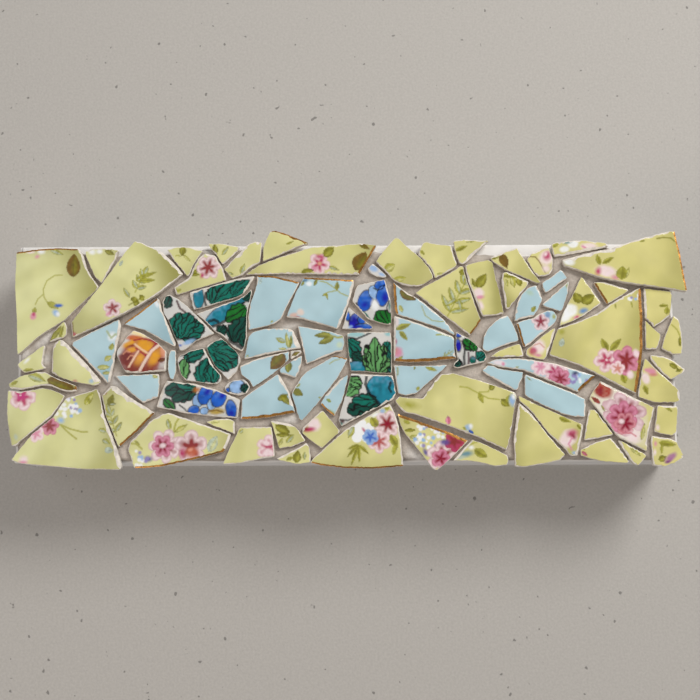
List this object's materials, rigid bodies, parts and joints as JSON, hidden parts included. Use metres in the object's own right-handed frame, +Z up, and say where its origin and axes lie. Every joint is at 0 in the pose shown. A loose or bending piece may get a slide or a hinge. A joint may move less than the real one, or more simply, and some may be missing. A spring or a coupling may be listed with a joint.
{
  "type": "mosaic panel",
  "caption": "Wide wall panel of broken china showing a fish, its body pale blue and leafy, set in grey-brown grout on a deep white stretched canvas.",
  "frame": {"origin": "back face of the top fold of the canvas, midway along it, where the panel rests on a wall", "axes": "+X to the picture's right along the length, +Y out of the back towards the wall, +Z up; the picture faces -Y"},
  "size_m": [0.3134, 0.0459, 0.1116],
  "materials": {
    "china_yellow": "gloss glazed earthenware, butter yellow",
    "china_blue": "gloss glazed earthenware, pale duck-egg blue",
    "china_rose": "gloss printed china, orange roses on white",
    "china_leaf": "gloss printed china, green and blue leaves on white",
    "china_petal": "gloss printed china, blue petals on white",
    "grout": "matt sanded cement grout, grey brown",
    "canvas": "matt primed cotton canvas",
    "pine": "planed bare pine"
  },
  "bodies": {
    "root": {"band_1": "china_petal", "band_3": "china_leaf", "band_4": "china_leaf", "bar_bottom": "pine", "bar_left": "pine", "bar_right": "pine", "bar_top": "pine", "body_1": "china_blue", "body_2": "china_blue", "body_3": "china_blue", "body_4": "china_blue", "body_5": "china_blue", "body_8": "china_blue", "body_9": "china_blue", "border_bottom_10": "china_yellow", "border_bottom_11": "china_yellow", "border_bottom_12": "china_yellow", "border_bottom_13": "china_yellow", "border_bottom_14": "china_yellow", "border_bottom_2": "china_yellow", "border_bottom_3": "china_yellow", "border_bottom_5": "china_yellow", "border_bottom_8": "china_yellow", "border_bottom_9": "china_yellow", "border_bottom_left": "china_yellow", "border_left_4": "china_yellow", "border_left_5": "china_yellow", "border_right_1": "china_yellow", "border_right_5": "china_yellow", "border_top_10": "china_yellow", "border_top_11": "china_yellow", "border_top_13": "china_yellow", "border_top_3": "china_yellow", "border_top_5": "china_yellow", "border_top_left": "china_yellow", "border_top_long": "china_yellow", "border_top_right": "china_yellow", "border_top_sprig": "china_yellow", "canvas": "canvas", "collar_1": "china_leaf", "collar_2": "china_leaf", "collar_3": "china_leaf", "collar_4": "china_leaf", "collar_5": "china_leaf", "collar_6": "china_petal", "grout_bed": "grout", "head_brow": "china_blue", "head_chin": "china_blue", "head_eye": "china_rose", "head_mouth": "china_blue", "rear_1": "china_blue", "rear_2": "china_blue", "rear_3": "china_blue", "tail_1": "china_blue", "tail_11": "china_blue", "tail_3": "china_blue", "tail_7": "china_yellow", "tail_9": "china_blue", "tail_centre": "china_yellow", "tail_rose": "china_rose"}
  },
  "joints": []
}
